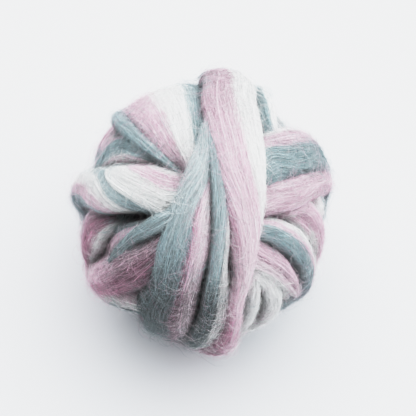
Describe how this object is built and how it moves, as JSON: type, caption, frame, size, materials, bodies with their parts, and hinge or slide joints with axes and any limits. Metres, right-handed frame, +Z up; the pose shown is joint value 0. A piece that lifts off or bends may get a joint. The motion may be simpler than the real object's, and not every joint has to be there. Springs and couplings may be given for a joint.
{
  "type": "wool roving ball",
  "caption": "Loosely wound ball of soft, striped wool roving, its broad flat wraps crossing and tucking under each other, resting on a small flat spot.",
  "frame": {"origin": "middle of the footprint of the ball's box, on the surface it rests on", "axes": "+Z up; the best side, with the narrow front wrap, looks forward and up between -Y and +Z; +X to its right"},
  "size_m": [0.1273, 0.1335, 0.1294],
  "materials": {
    "wool": "matte, fine unspun fibres, dyed in rose, grey and off-white stripes"
  },
  "bodies": {
    "root": {"roving_ball": "wool"}
  },
  "joints": []
}
